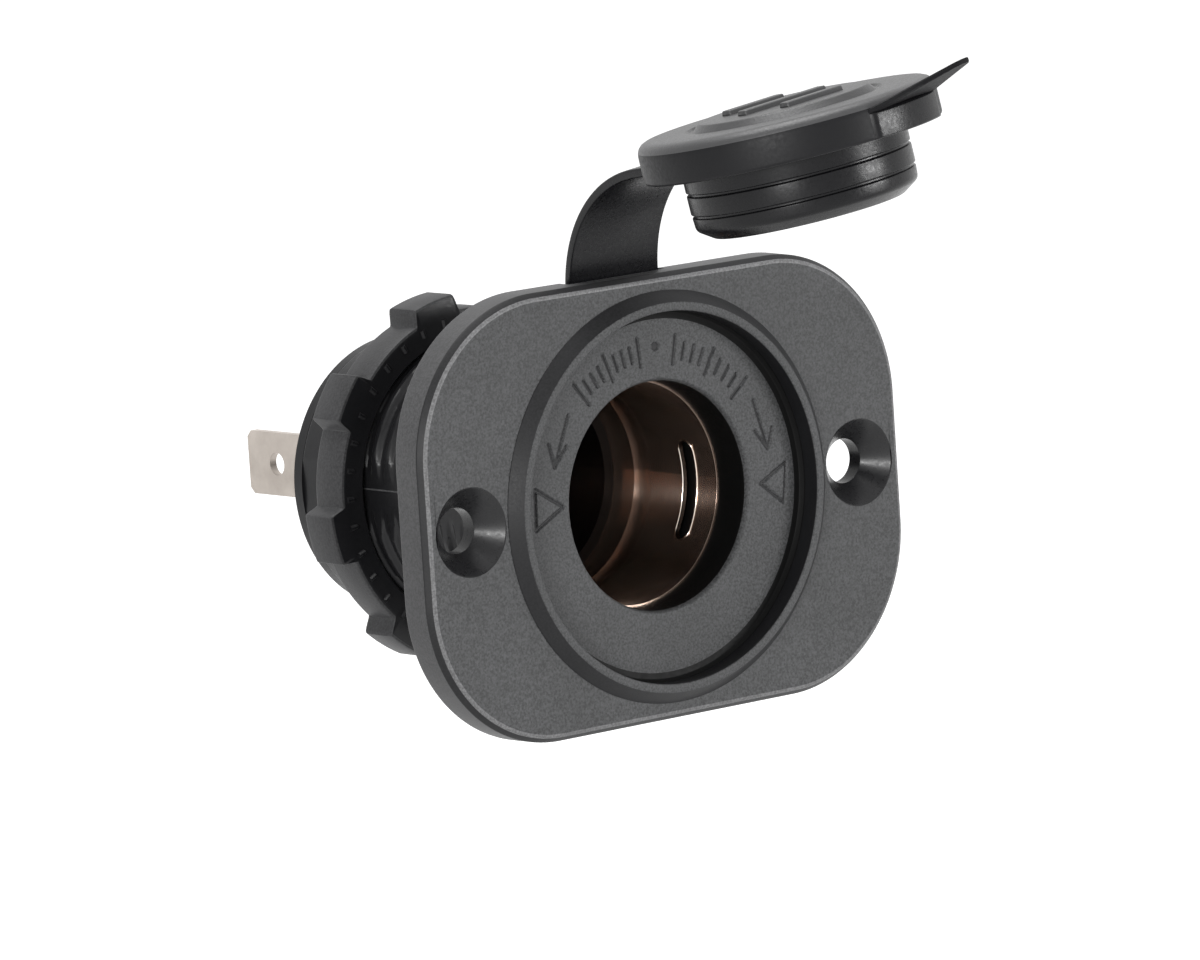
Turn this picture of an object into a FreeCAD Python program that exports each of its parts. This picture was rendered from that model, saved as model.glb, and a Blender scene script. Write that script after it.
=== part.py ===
import FreeCAD, Part
import math
import os

Vec = FreeCAD.Vector
X_DIR = Vec(1, 0, 0)
Y_DIR = Vec(0, 1, 0)
Z_DIR = Vec(0, 0, 1)
ORIGIN = Vec(0, 0, 0)

# Frame: the socket's axis runs along Y with its mouth towards -Y, +Z is up,
# and the plate's back face lies in the plane y = 0. Sizes in millimetres.

# Mounting plate
plate_w = 59.0
plate_h = 42.4
plate_t = 3.8
plate_corner_r = 15.0
plate_edge_chamfer = 0.6
screw_spacing = 48.0
screw_hole_d = 4.3
screw_head_d = 8.26
screw_head_angle = 82.0
notch_front_gap = 0.32
notch_side_gap = 0.5
ring_seat_gap = 0.3

# Flange with its recessed dial
flange_foot_r = 19.57
lip_r = 18.43
lip_rise = 1.19
lip_wall = 0.8
lip_edge_r = 0.2
dial_depth = 2.44
cove_w = 0.84
cove_h = 0.53
spigot_r = 18.4
spigot_gap = 0.15
flange_floor_t = 0.8
gasket_t = 0.3
gasket_edge_gap = 0.4

# Barrel
mouth_step = 0.15
mouth_edge_r = 0.3
mouth_len = 4.15
barrel_r = 13.7
barrel_wall = 2.05
barrel_len = 35.2
barrel_tail_step = 0.2
barrel_tail_len = 3.2
barrel_hole_gap = 0.3
thread_start = 2.0
thread_pitch = 2.0
thread_depth = 0.6
flat_depth = 0.58

# Contact sleeve, rolled from strip, with its tail and spade
sleeve_t = 0.5
sleeve_len = 15.5
sleeve_fit = 0.05
bead_start = 9.7
bead_len = 2.65
bead_depth = 0.4
window_start = 3.0
window_h = 2.1
window_half_angle = 26.5
window_angle = -7.5
tail_w = 4.0
tail_step = 0.05
tail_gap = 0.1

# Spade terminals
spade_w = 6.3
spade_t = 0.8
spade_hole_d = 2.3
spade_hole_inset = 4.5
spade_corner = 0.6
negative_len = 14.0
negative_inset = 0.25
positive_len = 16.0
positive_x = -3.0
foot_reach = 7.0

# Rear insulator and centre contact
insulator_step = 1.1
insulator_bore_depth = 13.3
end_flange_inset = 0.1
end_flange_t = 1.2
boss_step = 4.8
boss_len = 4.6
button_r = 4.0
button_h = 1.3
rivet_r = 1.5
rivet_gap = 0.05
rivet_head_r = 1.9
rivet_head_h = 0.9

# Ring nut
nut_from_end = 10.3
nut_len = 4.2
nut_wall = 2.82
nut_lug_h = 1.55
nut_lugs = 8
nut_first_lug = 102.1
nut_root_half_angle = 9.25
nut_tip_half_angle = 7.8
nut_collar_wall = 1.62
nut_collar_len = 0.9
nut_fit = 0.08
nut_teeth = 36
tooth_w = 0.35
tooth_h = 0.25
tooth_len = 0.8
tooth_inset = 0.6

# Rubber: anchor ring, strap and cap
tether_turn = 7.14
tether_t = 0.9
ring_w = 2.8
ring_gap = 0.3
strap_w = 11.0
strap_root_len = 1.6
strap_bend_r = 14.8
strap_run = 2.05
strap_joint_gap = 0.05
cap_tilt = 7.22
cap_r = 14.0
cap_h = 3.78
cap_edge_r = 1.2
cap_root_len = 0.6
plateau_r = 8.7
plateau_h = 0.6
plateau_edge = 0.5
plug_gap = 0.3
plug_len = 6.2
plug_taper_w = 1.65
plug_taper_h = 0.9
groove_depth = 0.3
groove_w = 0.5
groove_z = (1.76, 3.81)
plug_rim_w = 2.1
dish_depth = 1.5
tab_turn = 14.0
tab_root_w = 12.0
tab_tip_w = 2.0
tab_len = 7.0
tab_root_h = 0.65
tab_tip_h = 0.45
tab_drop = 1.3
tab_rise = 17.0
tab_inset = 2.5
tab_corner_r = 0.8
tab_foot_w = 10.6
tab_foot_proud = 0.35
tab_foot_drop = 0.6

# Levels along the socket's axis
plate_front = -plate_t
lip_y = plate_front - lip_rise
dial_y = lip_y + dial_depth
spigot_y = dial_y + flange_floor_t
seat_y = spigot_y + gasket_t
sleeve_y = dial_y + mouth_len
sleeve_end = sleeve_y + sleeve_len
bore_end = sleeve_end + insulator_bore_depth
tail_y = barrel_len - barrel_tail_len
rear_y = barrel_len + end_flange_t
boss_y = rear_y + boss_len
nut_front = barrel_len - nut_from_end

# Radii, from the barrel inwards to the bore and outwards to the nut and the anchor ring
barrel_tail_r = barrel_r - barrel_tail_step
pocket_r = barrel_r - barrel_wall
insulator_r = pocket_r - sleeve_fit
sleeve_out_r = insulator_r - bead_depth
sleeve_r = sleeve_out_r - sleeve_t
mouth_r = sleeve_r + mouth_step
insulator_bore_r = sleeve_r - insulator_step
end_flange_r = barrel_tail_r - end_flange_inset
boss_r = end_flange_r - boss_step
negative_x = sleeve_r - negative_inset
nut_bore_r = barrel_r + nut_fit
nut_root_r = nut_bore_r + nut_wall
nut_lug_r = nut_root_r + nut_lug_h
nut_collar_r = nut_bore_r + nut_collar_wall
ring_bore_r = barrel_r + ring_gap
ring_r = ring_bore_r + ring_w
strap_root_z = ring_r + strap_root_len
plug_r = mouth_r - plug_gap
plug_tip_r = plug_r - plug_taper_w
dish_r = plug_tip_r - plug_rim_w


def polyline_face(points):
    wire = Part.makePolygon(points + [points[0]])
    return Part.Face(wire)


def turned(profile):
    """Solid of revolution about the socket's axis from (radius, y) points."""
    face = polyline_face([Vec(r, y, 0) for r, y in profile])
    return face.revolve(ORIGIN, Y_DIR, 360)


def tube(r_in, r_out, y0, y1):
    return turned([(r_in, y0), (r_out, y0), (r_out, y1), (r_in, y1)])


def box(x0, x1, y0, y1, z0, z1):
    return Part.makeBox(x1 - x0, y1 - y0, z1 - z0, Vec(x0, y0, z0))


def around(shape, angle):
    """Turn a shape about the socket's axis, from +X towards +Z."""
    copy = shape.copy()
    copy.rotate(ORIGIN, Y_DIR, -angle)
    return copy


def circle_edges(shape, r, y):
    """Circular edges of one radius at one level along the axis."""
    found = []
    for edge in shape.Edges:
        curve = edge.Curve
        if isinstance(curve, Part.Circle) and abs(curve.Radius - r) < 1e-4 and abs(curve.Center.y - y) < 1e-4:
            found.append(edge)
    return found


def make_plate():
    plate = box(-plate_w / 2, plate_w / 2, plate_front, 0, -plate_h / 2, plate_h / 2)
    corners = [e for e in plate.Edges if abs(e.tangentAt(e.FirstParameter).y) > 0.9]
    plate = plate.makeFillet(plate_corner_r, corners)
    front = [e for e in plate.Edges if abs(e.CenterOfMass.y - plate_front) < 1e-4]
    plate = plate.makeChamfer(plate_edge_chamfer, front)
    seat = Part.makeCylinder(spigot_r + spigot_gap, seat_y - plate_front, Vec(0, plate_front, 0), Y_DIR)
    hole = Part.makeCylinder(barrel_r + barrel_hole_gap, -seat_y, Vec(0, seat_y, 0), Y_DIR)
    plate = plate.cut(seat).cut(hole)
    sink_depth = (screw_head_d - screw_hole_d) / 2 / math.tan(math.radians(screw_head_angle / 2))
    for side in (-1, 1):
        at = Vec(side * screw_spacing / 2, plate_front, 0)
        plate = plate.cut(Part.makeCylinder(screw_hole_d / 2, plate_t, at, Y_DIR))
        plate = plate.cut(Part.makeCone(screw_head_d / 2, screw_hole_d / 2, sink_depth, at, Y_DIR))
    ring_seat = Part.makeCylinder(ring_r + ring_seat_gap, tether_t, Vec(0, -tether_t, 0), Y_DIR)
    half_notch = strap_w / 2 + notch_side_gap
    beyond = plate_h
    rise = plate_h / 2 - strap_root_z
    strap_front_y = bend_y + math.sqrt((strap_bend_r - tether_t / 2) ** 2 - rise ** 2)
    slope = (notch_front_gap - strap_front_y - tether_t) / rise
    channel = polyline_face([
        Vec(-half_notch, 0, 0),
        Vec(-half_notch, -tether_t, 0),
        Vec(-half_notch, -tether_t, strap_root_z),
        Vec(-half_notch, -tether_t - slope * (beyond - strap_root_z), beyond),
        Vec(-half_notch, 0, beyond),
    ]).extrude(X_DIR * 2 * half_notch)
    return plate.cut(ring_seat).cut(around(channel, tether_turn))


def make_body():
    shoulder_y = tail_y - barrel_tail_step
    turns = int((shoulder_y - thread_start) / thread_pitch)
    thread = []
    for i in range(turns):
        y = thread_start + i * thread_pitch
        thread += [(barrel_r, y), (barrel_r - thread_depth, y + thread_pitch / 2)]
    thread.append((barrel_r, thread_start + turns * thread_pitch))
    body = turned([
        (flange_foot_r, plate_front),
        (lip_r, lip_y),
        (lip_r - lip_wall, lip_y),
        (lip_r - lip_wall, dial_y - cove_h),
        (lip_r - lip_wall - cove_w, dial_y),
        (mouth_r, dial_y),
        (mouth_r, sleeve_y),
        (pocket_r, sleeve_y),
        (pocket_r, barrel_len),
        (barrel_tail_r, barrel_len),
        (barrel_tail_r, tail_y),
        (barrel_r, shoulder_y),
        *reversed(thread),
        (barrel_r, spigot_y),
        (spigot_r, spigot_y),
        (spigot_r, plate_front),
    ])
    body = body.makeFillet(mouth_edge_r, circle_edges(body, mouth_r, dial_y))
    body = body.makeFillet(lip_edge_r, circle_edges(body, lip_r, lip_y))
    flat_x = barrel_r - flat_depth
    for x0, x1 in ((-barrel_r, -flat_x), (flat_x, barrel_r)):
        body = body.cut(box(x0, x1, 0, barrel_len, -barrel_r, barrel_r))
    return body


def make_gasket():
    return tube(barrel_r + barrel_hole_gap, spigot_r - gasket_edge_gap, spigot_y, seat_y)


def spade(x, y0, length):
    """Flat spade along +Y with clipped corners and a locking hole."""
    y1 = y0 + length
    half = spade_w / 2
    outline = polyline_face([
        Vec(x, y0, -half),
        Vec(x, y1 - spade_corner, -half),
        Vec(x, y1, -half + spade_corner),
        Vec(x, y1, half - spade_corner),
        Vec(x, y1 - spade_corner, half),
        Vec(x, y0, half),
    ])
    blade = outline.extrude(X_DIR * spade_t)
    hole = Part.makeCylinder(spade_hole_d / 2, spade_t, Vec(x, y1 - spade_hole_inset, 0), X_DIR)
    return blade.cut(hole)


def make_sleeve():
    y_mid = sleeve_y + bead_start + bead_len / 2
    bead = []
    for r in (sleeve_r, sleeve_out_r):
        arc = Part.Arc(
            Vec(r, sleeve_y + bead_start, 0),
            Vec(r + bead_depth, y_mid, 0),
            Vec(r, sleeve_y + bead_start + bead_len, 0),
        ).toShape()
        start = Part.makeLine(Vec(r, sleeve_y, 0), Vec(r, sleeve_y + bead_start, 0))
        end = Part.makeLine(Vec(r, sleeve_y + bead_start + bead_len, 0), Vec(r, sleeve_end, 0))
        bead += [start, arc, end]
    caps = [Part.makeLine(Vec(sleeve_r, y, 0), Vec(sleeve_out_r, y, 0)) for y in (sleeve_y, sleeve_end)]
    wire = Part.Wire(Part.__sortEdges__(bead + caps))
    sleeve = Part.Face(wire).revolve(ORIGIN, Y_DIR, 360)
    half_w = sleeve_r * math.sin(math.radians(window_half_angle)) - window_h / 2
    y_win = sleeve_y + window_start
    window = box(0, barrel_r, y_win, y_win + window_h, -half_w, half_w)
    for z in (-half_w, half_w):
        end = Part.makeCylinder(window_h / 2, barrel_r, Vec(0, y_win + window_h / 2, z), X_DIR)
        window = window.fuse(end)
    sleeve = sleeve.cut(around(window, window_angle))
    tail_x = sleeve_r + tail_step
    tail = box(tail_x, tail_x + sleeve_t, sleeve_end - sleeve_t, rear_y + sleeve_t, -tail_w / 2, tail_w / 2)
    blade = spade(negative_x, barrel_len, negative_len)
    return sleeve.fuse(tail).fuse(blade).removeSplitter()


def make_insulator():
    body = turned([
        (insulator_bore_r, sleeve_end),
        (insulator_r, sleeve_end),
        (insulator_r, barrel_len),
        (end_flange_r, barrel_len),
        (end_flange_r, rear_y),
        (boss_r, rear_y),
        (boss_r, boss_y),
        (0, boss_y),
        (0, bore_end),
        (insulator_bore_r, bore_end),
    ])
    tail_x = sleeve_r + tail_step
    half_tail = tail_w / 2 + tail_gap
    channel = box(tail_x - tail_gap, barrel_r, sleeve_end, barrel_len, -half_tail, half_tail)
    half = spade_w / 2 + tail_gap
    slot = box(negative_x - tail_gap, tail_x + sleeve_t + tail_gap, barrel_len, rear_y, -half, half)
    rivet_hole = Part.makeCylinder(rivet_r + rivet_gap, boss_y - bore_end, Vec(0, bore_end, 0), Y_DIR)
    return body.cut(channel).cut(slot).cut(rivet_hole)


def make_centre_contact():
    foot_y = boss_y + spade_t
    button = Part.makeCylinder(button_r, button_h, Vec(0, bore_end - button_h, 0), Y_DIR)
    button = button.makeFillet(button_h / 2, circle_edges(button, button_r, bore_end - button_h))
    shank = Part.makeCylinder(rivet_r, foot_y - bore_end, Vec(0, bore_end, 0), Y_DIR)
    head = Part.makeCylinder(rivet_head_r, rivet_head_h, Vec(0, foot_y, 0), Y_DIR)
    head = head.makeFillet(rivet_head_h / 2, circle_edges(head, rivet_head_r, foot_y + rivet_head_h))
    return button.fuse(shank).fuse(head).removeSplitter()


def make_positive_terminal():
    half = spade_w / 2
    foot = box(positive_x, positive_x + foot_reach, boss_y, boss_y + spade_t, -half, half)
    hole = Part.makeCylinder(rivet_r + rivet_gap, spade_t, Vec(0, boss_y, 0), Y_DIR)
    return foot.cut(hole).fuse(spade(positive_x, boss_y, positive_len)).removeSplitter()


def polar(r, angle, y):
    a = math.radians(angle)
    return Vec(r * math.cos(a), y, r * math.sin(a))


def make_nut():
    nut = Part.makeCylinder(nut_root_r, nut_len, Vec(0, nut_front, 0), Y_DIR)
    for i in range(nut_lugs):
        mid = nut_first_lug + i * 360 / nut_lugs
        lug = polyline_face([
            polar(barrel_r, mid - nut_root_half_angle, nut_front),
            polar(nut_root_r, mid - nut_root_half_angle, nut_front),
            polar(nut_lug_r, mid - nut_tip_half_angle, nut_front),
            polar(nut_lug_r, mid + nut_tip_half_angle, nut_front),
            polar(nut_root_r, mid + nut_root_half_angle, nut_front),
            polar(barrel_r, mid + nut_root_half_angle, nut_front),
        ]).extrude(Y_DIR * nut_len)
        nut = nut.fuse(lug)
    nut = nut.removeSplitter()
    collar = Part.makeCylinder(nut_collar_r, nut_collar_len, Vec(0, nut_front + nut_len, 0), Y_DIR)
    nut = nut.fuse(collar)
    tooth_r = nut_root_r - tooth_inset
    tooth = box(tooth_r - tooth_len, tooth_r, nut_front - tooth_h, nut_front, -tooth_w / 2, tooth_w / 2)
    nut = nut.fuse([around(tooth, i * 360 / nut_teeth) for i in range(nut_teeth)])
    return nut.cut(Part.makeCylinder(nut_bore_r, nut_len + nut_collar_len, Vec(0, nut_front, 0), Y_DIR))


def make_anchor_ring():
    base = Vec(0, -tether_t, 0)
    ring = Part.makeCylinder(ring_r, tether_t, base, Y_DIR)
    root = box(-strap_w / 2, strap_w / 2, -tether_t, 0, 0, strap_root_z - strap_joint_gap)
    ring = ring.fuse(root).removeSplitter()
    ring = ring.cut(Part.makeCylinder(ring_bore_r, tether_t, base, Y_DIR))
    return around(ring, tether_turn)


# Strap's middle line: up from the ring, over in one bend, then straight to the cap's rim
bend_y = -tether_t / 2 - strap_bend_r
bend_sweep = math.radians(90 - cap_tilt)
lean = math.radians(cap_tilt)
bend_end = Vec(0, bend_y + strap_bend_r * math.cos(bend_sweep), strap_root_z + strap_bend_r * math.sin(bend_sweep))
run_dir = Vec(0, -math.cos(lean), math.sin(lean))
rise_dir = Vec(0, math.sin(lean), math.cos(lean))
strap_end = bend_end + run_dir * strap_run
cap_centre = strap_end + run_dir * (cap_r + cap_root_len + strap_joint_gap) - rise_dir * (tether_t / 2)


def make_strap():
    half_t = tether_t / 2
    edges = []
    rim = []
    foot = []
    for side in (-half_t, half_t):
        r = strap_bend_r + side
        marks = []
        for share in (0, 0.5, 1):
            a = bend_sweep * share
            marks.append(Vec(-strap_w / 2, bend_y + r * math.cos(a), strap_root_z + r * math.sin(a)))
        edges.append(Part.Arc(*marks).toShape())
        tip = marks[2] + run_dir * strap_run
        edges.append(Part.makeLine(marks[2], tip))
        rim.append(tip)
        foot.append(marks[0])
    edges.append(Part.makeLine(*rim))
    edges.append(Part.makeLine(*foot))
    wire = Part.Wire(Part.__sortEdges__(edges))
    return around(Part.Face(wire).extrude(X_DIR * strap_w), tether_turn)


def make_tab():
    """Pull tab that tapers and climbs from the rim, on a foot that stands a little proud of it."""
    root_y = -cap_r + tab_inset
    tip_y = -cap_r - tab_len
    root_top = cap_h - tab_drop
    tip_top = root_top + (root_y - tip_y) * math.tan(math.radians(tab_rise))
    sections = []
    for y, half, top, h in (
        (root_y, tab_root_w / 2, root_top, tab_root_h),
        (tip_y, tab_tip_w / 2, tip_top, tab_tip_h),
    ):
        corners = [Vec(-half, y, top - h), Vec(half, y, top - h), Vec(half, y, top), Vec(-half, y, top)]
        sections.append(Part.makePolygon(corners + [corners[0]]))
    tab = Part.makeLoft(sections, True, True)
    tips = [e for e in tab.Edges if e.BoundBox.YMax < tip_y + tab_tip_h and e.BoundBox.XLength < tab_tip_h]
    tab = tab.makeFillet(tab_corner_r, tips)
    foot = Part.makeCylinder(cap_r + tab_foot_proud, root_top - tab_foot_drop)
    half_foot = tab_foot_w / 2
    foot = foot.common(box(-half_foot, half_foot, -cap_r - tab_foot_proud, root_y, 0, cap_h))
    tab = tab.fuse(foot)
    tab.rotate(ORIGIN, Z_DIR, tab_turn)
    return tab


def make_cap():
    """Cap about its own Z axis with the disc's underside at z = 0, then set on the strap's end."""
    profile = [(0, cap_h + plateau_h), (plateau_r - plateau_edge, cap_h + plateau_h), (plateau_r, cap_h)]
    profile += [(cap_r, cap_h), (cap_r, 0), (plug_r, 0)]
    for z in groove_z:
        profile.append((plug_r, -z + groove_w / 2))
        profile.append((plug_r - groove_depth, -z + groove_w / 4))
        profile.append((plug_r - groove_depth, -z - groove_w / 4))
        profile.append((plug_r, -z - groove_w / 2))
    profile += [(plug_r, -plug_len + plug_taper_h), (plug_tip_r, -plug_len), (dish_r, -plug_len)]
    profile += [(dish_r - dish_depth / 2, -plug_len + dish_depth), (0, -plug_len + dish_depth)]
    face = polyline_face([Vec(r, 0, z) for r, z in profile])
    cap = face.revolve(ORIGIN, Z_DIR, 360)
    rim = [
        e for e in cap.Edges
        if isinstance(e.Curve, Part.Circle) and abs(e.Curve.Radius - cap_r) < 1e-4
        and abs(e.Curve.Center.z - cap_h) < 1e-4
    ]
    cap = cap.makeFillet(cap_edge_r, rim)
    root = box(-strap_w / 2, strap_w / 2, 0, cap_r + cap_root_len, 0, tether_t)
    cap = cap.fuse(root).fuse(make_tab()).removeSplitter()
    cap.rotate(ORIGIN, X_DIR, -cap_tilt)
    cap.translate(cap_centre)
    return around(cap, tether_turn)


pieces = {
    "mounting_plate": make_plate(),
    "socket_body": make_body(),
    "flange_gasket": make_gasket(),
    "contact_sleeve": make_sleeve(),
    "rear_insulator": make_insulator(),
    "centre_contact": make_centre_contact(),
    "positive_terminal": make_positive_terminal(),
    "ring_nut": make_nut(),
    "anchor_ring": make_anchor_ring(),
    "strap": make_strap(),
    "cap": make_cap(),
}
os.makedirs("parts", exist_ok=True)
for name, shape in pieces.items():
    shape.exportStep("parts/" + name + ".step")
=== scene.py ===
import math

import bmesh
import bpy
from mathutils import Matrix, Vector


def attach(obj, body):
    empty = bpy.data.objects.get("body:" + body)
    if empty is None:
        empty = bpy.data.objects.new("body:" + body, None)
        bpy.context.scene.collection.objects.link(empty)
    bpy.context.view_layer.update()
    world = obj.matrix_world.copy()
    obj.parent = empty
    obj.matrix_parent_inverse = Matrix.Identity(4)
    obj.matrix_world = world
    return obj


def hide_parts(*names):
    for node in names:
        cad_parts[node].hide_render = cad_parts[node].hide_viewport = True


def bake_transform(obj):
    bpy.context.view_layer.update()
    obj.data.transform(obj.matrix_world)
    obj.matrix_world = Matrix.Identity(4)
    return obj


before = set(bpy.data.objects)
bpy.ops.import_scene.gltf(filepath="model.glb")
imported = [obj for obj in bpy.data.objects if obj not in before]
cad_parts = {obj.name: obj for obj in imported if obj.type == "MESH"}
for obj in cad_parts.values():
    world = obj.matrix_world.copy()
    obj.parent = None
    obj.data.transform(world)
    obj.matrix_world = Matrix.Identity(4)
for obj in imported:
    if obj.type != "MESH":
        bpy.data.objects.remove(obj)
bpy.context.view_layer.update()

MM = 0.001
TAU = 2 * math.pi
SAME_POINT = 1e-7

# Sizes in millimetres, as in the solids. X is across the plate, Y goes in along the bore, Z is up.

# Mounting plate
PLATE_W = 59.0
PLATE_H = 42.4
PLATE_T = 3.8
PLATE_CORNER_R = 15.0
SCREW_X = 24.0
SCREW_HOLE_R = 2.15
SCREW_HEAD_R = 4.13
SINK_DEPTH = 2.28
SEAT_R = 18.55
SEAT_Y = -1.45
RING_SEAT_R = 17.1
PLATE_HOLE_R = 14.0
NOTCH_DEPTH = 1.5

# Socket body
FLANGE_FOOT_R = 19.57
LIP_R = 18.43
LIP_IN_R = 17.63
LIP_Y = -4.99
DIAL_Y = -2.55
DIAL_OUT_R = 16.79
DIAL_IN_R = 11.25
MOUTH_R = 10.85
SLEEVE_Y = 1.6
POCKET_R = 11.65
BARREL_R = 13.7
BARREL_END = 35.2
BARREL_TAIL_R = 13.5
BARREL_TAIL_Y = 32.0
SPIGOT_R = 18.4
SPIGOT_Y = -1.75
THREAD_PITCH = 2.0
THREAD_DEPTH = 0.5
FLAT_X = 13.12

# Ring nut
NUT_FRONT = 24.9
NUT_LEN = 4.2
NUT_ROOT_R = 16.6
NUT_LUG_R = 18.15
NUT_BORE_R = 13.78
NUT_COLLAR_R = 15.4
NUT_COLLAR_LEN = 0.9
NUT_LUGS = 8
NUT_FIRST_LUG = math.radians(102.1)
NUT_ROOT_HALF = math.radians(9.25)
NUT_TIP_HALF = math.radians(7.6)

# Strap and cap
TETHER_TURN = math.radians(7.14)
TETHER_T = 0.9
STRAP_W = 11.0
STRAP_ROOT_Z = 18.4
STRAP_BEND_R = 14.8
STRAP_RUN = 2.05
CAP_TILT = math.radians(7.22)
CAP_R = 14.0
CAP_H = 3.78
CAP_ROOT_LEN = 0.65
PLUG_R = 10.55
PLUG_LEN = 6.2

# Strap's middle line in the tether's own plane
BEND_Y = -TETHER_T / 2 - STRAP_BEND_R
BEND_SWEEP = math.pi / 2 - CAP_TILT
RUN_DIR = Vector((0, -math.cos(CAP_TILT), math.sin(CAP_TILT)))
RISE_DIR = Vector((0, math.sin(CAP_TILT), math.cos(CAP_TILT)))


def bend_point(angle):
    y = BEND_Y + STRAP_BEND_R * math.cos(angle)
    return Vector((0, y, STRAP_ROOT_Z + STRAP_BEND_R * math.sin(angle)))


STRAP_END = bend_point(BEND_SWEEP) + RUN_DIR * STRAP_RUN
CAP_CENTRE = STRAP_END + RUN_DIR * (CAP_R + CAP_ROOT_LEN) - RISE_DIR * (TETHER_T / 2)


def tether_matrix():
    """From the tether's plane, upright behind the plate, to the row frame."""
    return Matrix.Rotation(-TETHER_TURN, 4, "Y")


def cap_matrix():
    """From the cap's own frame, underside of the disc at z = 0, to the row frame."""
    return tether_matrix() @ Matrix.Translation(CAP_CENTRE) @ Matrix.Rotation(-CAP_TILT, 4, "X")


# Materials. Noise scales are per metre, bump heights in metres.

CLOUD_SCALE = 90
GRAIN_HEIGHT = 0.00008
GRAIN_ROUGHNESS = 0.06
TARNISH_SCALE = 220
STREAK_HEIGHT = 0.00002
STREAK_BUMP = 0.03
STREAK_ROUGHNESS = 0.02
QUARTER_TURN = 0.25


def node_material(name):
    material = bpy.data.materials.new(name)
    material.use_nodes = True
    nodes = material.node_tree.nodes
    return material, nodes, material.node_tree.links, nodes["Principled BSDF"]


def noise(nodes, links, vector, scale, detail, roughness=0.5):
    node = nodes.new("ShaderNodeTexNoise")
    node.inputs["Scale"].default_value = scale
    node.inputs["Detail"].default_value = detail
    node.inputs["Roughness"].default_value = roughness
    links.new(vector, node.inputs["Vector"])
    return node.outputs["Fac"]


def ramp(nodes, links, value, low, high, colour_a, colour_b):
    node = nodes.new("ShaderNodeValToRGB")
    node.color_ramp.elements[0].position = low
    node.color_ramp.elements[1].position = high
    node.color_ramp.elements[0].color = (*colour_a, 1)
    node.color_ramp.elements[1].color = (*colour_b, 1)
    links.new(value, node.inputs["Fac"])
    return node.outputs["Color"]


def roughness_about(nodes, links, value, middle, spread):
    """Roughness that follows a noise value, between middle - spread and middle + spread."""
    node = nodes.new("ShaderNodeMapRange")
    node.inputs["From Min"].default_value = 0.3
    node.inputs["From Max"].default_value = 0.7
    node.inputs["To Min"].default_value = middle - spread
    node.inputs["To Max"].default_value = middle + spread
    links.new(value, node.inputs["Value"])
    return node.outputs["Result"]


def bump(nodes, links, height, strength, distance):
    node = nodes.new("ShaderNodeBump")
    node.inputs["Strength"].default_value = strength
    node.inputs["Distance"].default_value = distance
    links.new(height, node.inputs["Height"])
    return node.outputs["Normal"]


def moulded(name, dark, light, rough, grain_scale, grain, specular, sand=0.0):
    """Moulded plastic or rubber: cloudy tone, fine grain in the surface and, on some, a sandy speckle."""
    material, nodes, links, shader = node_material(name)
    place = nodes.new("ShaderNodeTexCoord").outputs["Object"]
    cloud = noise(nodes, links, place, CLOUD_SCALE, detail=3.0, roughness=0.6)
    colour = ramp(nodes, links, cloud, low=0.3, high=0.7, colour_a=dark, colour_b=light)
    grain_value = noise(nodes, links, place, grain_scale, detail=2.0, roughness=0.55)
    if sand:
        darker = (1 - sand,) * 3
        lighter = (1 + sand,) * 3
        speckle = ramp(nodes, links, grain_value, low=0.34, high=0.66, colour_a=darker, colour_b=lighter)
        shade = nodes.new("ShaderNodeMix")
        shade.data_type = "RGBA"
        shade.blend_type = "MULTIPLY"
        shade.inputs["Factor"].default_value = 1.0
        links.new(colour, shade.inputs["A"])
        links.new(speckle, shade.inputs["B"])
        colour = shade.outputs["Result"]
    roughness = roughness_about(nodes, links, grain_value, rough, GRAIN_ROUGHNESS)
    links.new(colour, shader.inputs["Base Color"])
    links.new(roughness, shader.inputs["Roughness"])
    links.new(bump(nodes, links, grain_value, grain, GRAIN_HEIGHT), shader.inputs["Normal"])
    shader.inputs["Specular IOR Level"].default_value = specular
    return material


def plated(name, dark, light, rough, streak_scale, stretch_by=(1, 1, 1), turned=0.0):
    """Plated metal with fine streaks; turned > 0 spreads the shine along the bore, as round tool marks do."""
    material, nodes, links, shader = node_material(name)
    place = nodes.new("ShaderNodeTexCoord").outputs["Object"]
    stretch = nodes.new("ShaderNodeMapping")
    stretch.inputs["Scale"].default_value = stretch_by
    links.new(place, stretch.inputs["Vector"])
    streak = noise(nodes, links, stretch.outputs["Vector"], streak_scale, detail=3.0)
    tarnish = noise(nodes, links, place, TARNISH_SCALE, detail=4.0, roughness=0.65)
    roughness = roughness_about(nodes, links, streak, rough, STREAK_ROUGHNESS)
    colour = ramp(nodes, links, tarnish, low=0.35, high=0.7, colour_a=dark, colour_b=light)
    links.new(colour, shader.inputs["Base Color"])
    links.new(roughness, shader.inputs["Roughness"])
    links.new(bump(nodes, links, streak, STREAK_BUMP, STREAK_HEIGHT), shader.inputs["Normal"])
    shader.inputs["Metallic"].default_value = 1.0
    if turned:
        tangent = nodes.new("ShaderNodeTangent")
        tangent.direction_type = "RADIAL"
        tangent.axis = "Y"
        links.new(tangent.outputs["Tangent"], shader.inputs["Tangent"])
        shader.inputs["Anisotropic"].default_value = turned
        shader.inputs["Anisotropic Rotation"].default_value = QUARTER_TURN
    return material


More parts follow.
